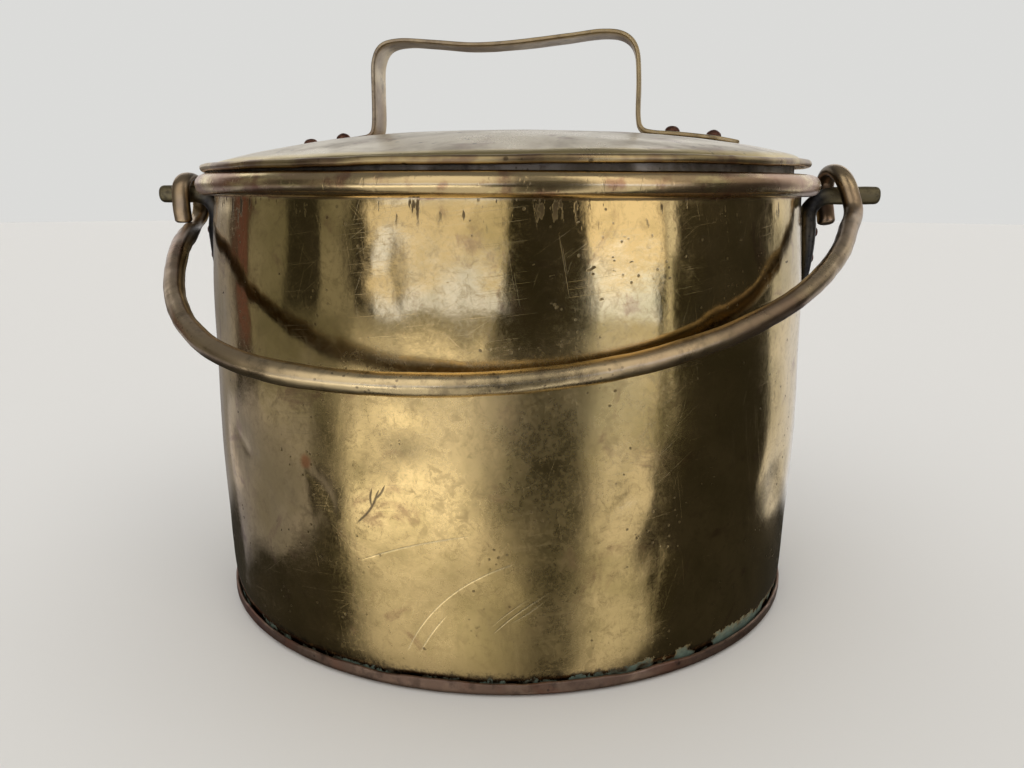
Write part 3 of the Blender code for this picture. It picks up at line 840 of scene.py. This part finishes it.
def build_lid():
    """The dented dome with the rolled hem round it."""
    radii = np.concatenate([[0.0], np.linspace(2.0, 143.4, 84)])
    dome = np.stack([radii, dome_z(radii)], 1)
    shoulder = [(143.4, dome_z(143.4)), (145.4, 3.0), (146.8, 1.7), (148.2, 1.05)]
    line = np.vstack([dome, even_path(shoulder, 0.4)[1:]])
    outer, inner, _ = sheet_loop(line, LID_SHEET, 2)
    hem = arc(
        (LID_FLANGE - HEM_RADIUS, 0.95), HEM_RADIUS, math.radians(140), math.radians(-155), 15
    )
    outline = np.vstack([outer, hem, inner])

    def move(radius, angle, z):
        crown = np.interp(radius, [0.0, 120.0, 143.0, 147.0], [1.0, 1.0, 0.5, 0.0])
        edge = np.interp(radius, [143.0, 148.0, 152.0], [0.0, 0.6, 1.0])
        plan = polar(radius, angle, np.zeros_like(z))
        dents = 0.42 * soft_noise(plan, 46.0, 41) + 0.16 * soft_noise(plan, 19.0, 43)
        place = on_wall(angle, np.zeros_like(z))
        # The hem follows the rim more closely than the tilted dome does.
        rise = edge * (0.25 - 0.8 * np.sin(angle) + 0.35 * soft_noise(place, 33.0, 47))
        rise = rise + edge * 0.15 * soft_noise(place, 11.0, 49)
        sway = edge * (0.3 * soft_noise(place, 26.0, 51) + 0.12 * soft_noise(place, 8.0, 53))
        return radius + sway, z + crown * dents + rise

    vertices, faces = revolve(outline, 400, move)
    new_object("lid_shell", to_pot(vertices), faces, "lid", ["lid_dome"], [LID])


def build_collar():
    """The ring under the lid that drops into the pot."""
    line = np.stack([np.full(13, COLLAR_RADIUS), np.linspace(2.4, -17.5, 13)], 1)
    outer, inner, caps = sheet_loop(line, LID_SHEET, 3)
    outline = np.vstack([outer, caps[0], inner, caps[1]])

    def move(radius, angle, z):
        place = on_wall(angle, z * 0.4)
        sway = 0.15 * soft_noise(place, 28.0, 61)
        return radius + sway, z - 0.1 + 0.12 * soft_noise(place, 12.0, 63)

    vertices, faces = revolve(outline, 240, move, closed=True)
    vertices = to_pot(vertices)
    new_object("lid_collar_ring", vertices, faces, "lid", ["lid_collar"], [COLLAR])


def strap_frame():
    """How the strap is turned on the lid, and the direction of its width."""
    turn = np.array(Matrix.Rotation(STRAP_YAW, 3, "Z"))
    return turn, turn @ np.array([0.0, 1.0, 0.0])


def build_strap():
    """The bent strap handle: a foot, the bow and the other foot, along X and then up."""
    lift = LID_SHEET / 2 + SHEET_GAP + STRAP_THICKNESS / 2
    left = [(-r, dome_z(r) + lift) for r in (117.0, 111.0, 100.0, 88.0, 76.0)]
    bow = [
        (-69.5, 19.2), (-67.4, 25.0), (-66.9, 42.0), (-66.2, 55.0), (-61.8, 62.6), (-52.0, 64.8),
        (-36.0, 63.6), (-15.0, 61.6), (8.0, 62.2), (32.0, 64.2), (50.0, 65.8), (60.6, 64.0),
        (66.4, 57.4), (67.8, 44.0), (67.8, 26.0), (69.6, 19.6),
    ]
    right = [(r, dome_z(r) + lift) for r in (75.0, 86.0, 100.0, 111.0, 117.0)]
    path = even_path(left + bow + right, 1.4)
    turn, across = strap_frame()
    centres = np.stack([path[:, 0], np.zeros(len(path)), path[:, 1]], 1) @ turn.T
    from_tip = np.clip((STRAP_TIP - np.abs(path[:, 0])) / 14.0, 0.0, 1.0)
    taper = 0.5 + 0.5 * np.sin(from_tip * math.pi / 2)
    worn = soft_noise(centres, 21.0, 71)
    half_wide = STRAP_WIDTH / 2 * taper + 0.35 * worn
    half_thick = STRAP_THICKNESS / 2 * (1 - 0.10 * np.abs(soft_noise(centres, 13.0, 73)))
    centres, half_thick, half_wide = with_round_ends(centres, half_thick, half_wide, steps=4)
    vertices, faces = tube(
        to_pot(centres), half_thick, half_wide, across, 40, 5.0,
        lambda place: 0.10 * soft_noise(place, 6.0, 75) - 0.05,
    )
    new_object("lid_handle_strap", vertices, faces, "lid", ["lid_handle"], [STRAP])


def rivet_mesh(head_radius, head_height, shank, length, seed):
    """A hammered rivet: a domed head above z = 0 and its shank below."""
    head = arc((0.0, 0.0), 1.0, math.pi / 2, 0.12, 12) * [head_radius, head_height]
    head[0, 0] = 0.0
    brim = [(head_radius, 0.12), (head_radius * 0.98, 0.0)]
    foot = [(shank, 0.0), (shank, -length), (shank * 1.5, -length), (shank * 1.25, -length - 0.9)]
    outline = np.vstack([head, brim, foot, [(0.0, -length - 1.05)]])

    def move(radius, angle, z):
        place = polar(radius, angle, z)
        top = np.interp(z, [0.0, head_height], [0.3, 1.0])
        shift = 0.28 * soft_noise(place, 3.0, seed)
        radius = radius * (1 + 0.05 * soft_noise(place, 4.0, seed + 1) * (z >= 0))
        return radius, np.where(z > 0.01, z + shift * top * z / head_height, z)

    return revolve(outline, 36, move)


# How far along the strap each of its rivets stands, in mm from the lid's middle.
STRAP_RIVETS = {
    "left_outer": -105.0, "left_inner": -87.0, "right_inner": 84.5, "right_outer": 105.0,
}


def build_lid_rivets():
    """The four rivets, each leaning with the dome under it."""
    turn, _ = strap_frame()
    length = 3 * SHEET_GAP + STRAP_THICKNESS + LID_SHEET
    for seed, (name, along) in enumerate(STRAP_RIVETS.items()):
        vertices, faces = rivet_mesh(RIVET_HEAD, 2.6, 2.0, length, 80 + seed)
        radius = abs(along)
        slope = 3 * LID_DOME_RISE / LID_DOME * (radius / LID_DOME) ** 2
        lean = np.array(Matrix.Rotation(math.atan(slope) * math.copysign(1, along), 3, "Y"))
        seat = LID_SHEET / 2 + 2 * SHEET_GAP + STRAP_THICKNESS
        local = (vertices + [0.0, 0.0, seat]) @ lean.T + [along, 0.0, dome_z(radius)]
        node = "lid_rivet_" + name
        place = to_pot(local @ turn.T)
        new_object(node + "_head", place, faces, "lid", [node], [RIVET])


# ---- lugs and bail


def wall_radius(z):
    """The wall's outer radius at a height, in mm."""
    heights, radii = zip(*WALL_OUTER)
    return float(np.interp(z, heights, radii))


# A lug's tail against the wall: height, thickness and width in mm. Then the arm that bends out of
# it: distance from the middle along X, height, thickness and width.
TAIL = [(135.0, 1.6, 2.6), (142.0, 2.4, 7.0), (152.0, 4.4, 12.4), (164.0, 6.6, 15.4),
        (175.0, 8.6, 16.0), (184.0, 9.8, 14.6)]
ARM = [(153.4, 191.2, 8.8, 12.4), (154.8, 195.2, 8.4, 10.4), (157.6, 198.4, 8.2, 9.0),
       (161.2, 200.4, 8.4, 8.6), (165.6, 201.2, 9.0, 9.0), (172.0, 201.4, 9.2, 9.2)]
# The height of each rivet in a lug, in mm.
LUG_RIVETS = {"lower": 158.0, "middle": 170.0, "upper": 183.0}


def build_lug(name, side):
    """A forged lug with its peg and rivets. side is 1 at the right and -1 at the left."""
    line = [(wall_radius(z) + SHEET_GAP + t / 2, z, t / 2, w / 2) for z, t, w in TAIL]
    line += [(x, z, t / 2, w / 2) for x, z, t, w in ARM]
    tip = PEG_TIP_RIGHT if side > 0 else PEG_TIP_LEFT
    line.append((tip - 2.6, AXIS_Z + 0.2, PEG_RADIUS, PEG_RADIUS))
    path = smooth_path(line, 12)
    centres = np.stack([side * path[:, 0], np.full(len(path), LUG_Y), path[:, 1]], 1)
    noise_along = soft_noise(centres, 9.0, 91 + side)
    on_arm = np.interp(path[:, 1], [186.0, 194.0], [0.0, 1.0])
    half_thick = path[:, 2] - 0.05
    half_wide = path[:, 3] * (1 + 0.05 * noise_along * (1 - on_arm))
    vertices, faces = tube(
        *with_round_ends(centres, half_thick, half_wide, 0.55), (0.0, 1.0, 0.0), 28, 2.3,
        lambda place: 0.16 * soft_noise(place, 5.5, 95 + side) - 0.12,
    )
    new_object(name + "_forged", vertices, faces, "pot", [name], [LUG])
    for level, z in LUG_RIVETS.items():
        build_lug_rivet(name, side, level, z)


def build_lug_rivet(name, side, level, z):
    """A rivet through the wall and the lug's tail, with its head inside the pot."""
    thick = float(np.interp(z, [t[0] for t in TAIL], [t[1] for t in TAIL]))
    inner_radius = wall_radius(z) - WALL_THICKNESS
    inside = math.sqrt(inner_radius ** 2 - (abs(LUG_Y) + RIVET_HEAD) ** 2) - SHEET_GAP
    length = wall_radius(z) + SHEET_GAP + thick + 0.5 - inside
    head = arc((0.0, 0.0), 1.0, math.pi / 2, 0.12, 10) * [RIVET_HEAD, 2.0]
    head[0, 0] = 0.0
    outline = np.vstack([head, [(3.7, 0.0), (2.2, 0.0), (2.2, -length), (1.7, -length - 0.35),
                                (0.0, -length - 0.5)]])
    vertices, faces = revolve(outline, 32, lambda radius, angle, height: (radius, height))
    vertices += 0.05 * soft_noise(vertices, 2.5, 101)[:, None]
    turn = np.array(Matrix.Rotation(-side * math.pi / 2, 3, "Y"))
    place = vertices @ turn.T + [side * inside, LUG_Y, z]
    node = name.replace("lug", "lug_rivet") + "_" + level
    new_object(node + "_pin", place, faces, "pot", [node], [RIVET])


# The bail's middle line in mm. A hook's points go along X, then forward of the pegs' line and up
# from it. The bow's go along X, then straight out from that line.
LEFT_HOOK = [(-168.6, 8.8, -12.8), (-168.8, 9.6, -5.0), (-168.8, 8.0, 4.4), (-168.4, 0.2, 8.7),
             (-167.2, -7.6, 5.4), (-166.2, -10.2, -3.4), (-166.2, -6.8, -11.8),
             (-165.6, 4.4, -16.6), (-159.6, 24.0, -19.0)]
BOW = [(-151.6, 60.0), (-144.4, 88.0), (-135.0, 111.0), (-122.0, 131.0), (-104.0, 148.0),
       (-78.0, 160.0), (-44.0, 166.0), (-10.0, 166.4), (24.0, 161.6), (58.0, 151.0),
       (92.0, 132.4), (118.0, 111.0), (138.0, 88.0), (154.0, 62.0), (164.0, 38.0)]
RIGHT_HOOK = [(170.8, 18.4, -8.0), (170.2, 12.8, 0.8), (167.8, 8.8, 8.4), (165.2, 0.4, 12.2),
              (164.4, -8.6, 9.0), (164.9, -12.6, 1.0), (165.6, -11.6, -7.0), (166.0, -9.8, -12.6)]


def build_bail():
    """The rod from hook to hook. It is drawn thinner where it is bent into the hooks."""
    points = [(u, -f, w) for u, f, w in LEFT_HOOK]
    points += [(u, -v * math.cos(BAIL_REST), -v * math.sin(BAIL_REST)) for u, v in BOW]
    points += [(u, -f, w) for u, f, w in RIGHT_HOOK]
    path = even_path(points, 1.5)
    left_thin, right_thin, thin_reach, change = 2.7, 3.6, 14.0, 20.0
    from_axis = np.hypot(path[:, 1], path[:, 2])
    full = np.clip((from_axis - thin_reach) / change, 0.0, 1.0)
    thin = np.where(path[:, 0] < 0, left_thin, right_thin)
    half_thick = thin + (BAIL_RADIUS - thin) * full
    centres = path + [0.0, LUG_Y, AXIS_Z]
    half_thick = half_thick * (1 + 0.035 * soft_noise(centres, 26.0, 111))
    half_wide = BAIL_RADIUS * (1 + 0.03 * soft_noise(centres, 19.0, 113))
    vertices, faces = tube(
        *with_round_ends(centres, half_thick, half_wide, 0.6, 5), (1.0, 0.0, 0.0), 32, 2.15,
        lambda place: 0.17 * soft_noise(place, 8.0, 115) + 0.05 * soft_noise(place, 3.0, 117) - 0.1,
    )
    new_object("bail_rod", vertices, faces, "bail", ["bail_handle"], [BAIL])


build_body()
build_base()
build_lid()
build_collar()
build_strap()
build_lid_rivets()
build_lug("lug_right", 1)
build_lug("lug_left", -1)
build_bail()
wire_slots = frame["nodes"]["rim_wire"].data.materials
wire_slots.clear()
wire_slots.append(WIRE)


# ---- camera, floor and light

# The lens in mm, the place in metres and the turns in degrees.
LENS = 31.29
CAMERA_PLACE = (0.0272, -0.4777, 0.2039)
CAMERA_YAW = 3.0
CAMERA_DOWN = 12.31
CAMERA_ROLL = 0.12

camera = place_object("camera", bpy.data.cameras.new("camera"))
camera.data.lens = LENS
camera.data.sensor_width = 36.0
camera.matrix_world = (
    Matrix.Translation(CAMERA_PLACE)
    @ Matrix.Rotation(math.radians(CAMERA_YAW), 4, "Z")
    @ Matrix.Rotation(math.radians(90.0 - CAMERA_DOWN), 4, "X")
    @ Matrix.Rotation(math.radians(CAMERA_ROLL), 4, "Z")
)
bpy.context.scene.camera = camera


def build_floor():
    """A plain pale floor whose faces grow away from the pot."""
    reach, rings, spokes = 6.0, 40, 96
    radii = reach * (np.arange(1, rings + 1) / rings) ** 2
    points = [(0.0, 0.0, 0.0)]
    for radius in radii:
        for k in range(spokes):
            angle = 2 * math.pi * k / spokes
            points.append((radius * math.cos(angle), radius * math.sin(angle), 0.0))
    faces = [(0, 1 + k, 1 + (k + 1) % spokes) for k in range(spokes)]
    faces += [tuple(i + 1 for i in face) for face in ring_faces(rings, spokes, False)]
    mesh = bpy.data.meshes.new("floor")
    mesh.from_pydata(points, [], faces)
    pale = (0.66, 0.65, 0.63, 1.0)
    mesh.materials.append(new_material("pale_floor").finish(pale, 0.6, 0.0))
    floor = place_object("floor", mesh)
    floor.location.z = -0.0003
    floor.visible_glossy = False


def overhead_light():
    """A very wide, soft light from above for the floor. The polished metal doesn't show it."""
    data = bpy.data.lights.new("overhead", "SUN")
    data.energy = 2.25
    data.angle = math.radians(120.0)
    data.color = (1.0, 0.995, 0.98)
    light = place_object("overhead", data)
    light.rotation_euler = (math.radians(14.0), math.radians(-8.0), 0.0)
    light.visible_glossy = False


# Soft panels of the studio: degrees round from the front towards +X, low and high, then the
# sine of the height angle, low and high, then the brightness in red, green and blue.
PANELS = [
    ((-42, 3), (-0.075, 0.035), (0.95, 1.10, 1.65)),
    ((-48, 3), (0.030, 0.90), (0.80, 0.76, 0.70)),
    ((-55, 0), (-0.24, -0.075), (0.26, 0.26, 0.24)),
    ((-58, -7), (-0.43, -0.225), (1.68, 1.64, 1.58)),
    ((-56, -7), (-1.2, -0.43), (0.56, 0.55, 0.52)),
    ((-9, 6), (-1.2, -0.42), (0.58, 0.56, 0.52)),
    ((66, 112), (0.20, 0.90), (0.26, 0.25, 0.22)),
    ((32, 57), (-0.11, 0.035), (1.25, 1.45, 2.15)),
    ((32, 60), (0.030, 0.90), (1.05, 0.98, 0.88)),
    ((32, 58), (-1.2, -0.11), (0.70, 0.69, 0.67)),
    ((62, 66), (-0.2, 0.3), (0.9, 0.9, 0.9)),
    ((-68, -55), (-0.10, 0.45), (0.20, 0.20, 0.18)),
    ((-104, -85), (-0.10, 0.45), (0.18, 0.18, 0.16)),
    ((-104, -55), (-0.22, -0.10), (0.15, 0.15, 0.13)),
    ((-118, -106), (-0.15, 0.4), (0.09, 0.03, 0.03)),
    ((-132, -72), (-0.41, -0.20), (0.25, 0.25, 0.31)),
    ((118, 190), (-0.33, 0.03), (0.66, 0.67, 0.70)),
    ((-190, -122), (-0.33, 0.03), (0.22, 0.21, 0.21)),
    ((118, 190), (0.03, 0.60), (0.85, 0.85, 0.86)),
    ((-190, -122), (0.03, 0.60), (0.85, 0.85, 0.86)),
]


def build_world():
    """A studio of soft panels, dark in front between them, pale behind and bright above."""
    world = bpy.data.worlds.new("studio")
    bpy.context.scene.world = world
    world.use_nodes = True
    n = Nodes(world.node_tree, "Generated")
    degrees = n.times(n.angle(), math.degrees(1.0))
    height = n.axis("Z")
    soft_degrees, soft_height = 2.5, 0.02
    dark_front, bright_above = (0.035, 0.033, 0.028), (0.16, 0.16, 0.16)
    pale_background = (0.71, 0.71, 0.695)

    def between(value, low, high, soft):
        rise = n.step(value, low - soft, low + soft)
        fall = n.invert(n.step(value, high - soft, high + soft))
        return n.times(rise, fall)

    total = n.mix(n.step(height, 0.36, 0.52), dark_front, bright_above)
    for (left, right), (bottom, top), light in PANELS:
        across = between(degrees, left, right, soft_degrees)
        share = n.times(across, between(height, bottom, top, soft_height))
        total = n.mix(share, total, light, blend_type="ADD")
    seen = n.add("LightPath")["Is Camera Ray"]
    background = n.tree.nodes["Background"]
    n.feed(background.inputs["Color"], n.mix(seen, total, pale_background))


build_floor()
build_world()
overhead_light()
bpy.context.scene.view_settings.view_transform = "Standard"
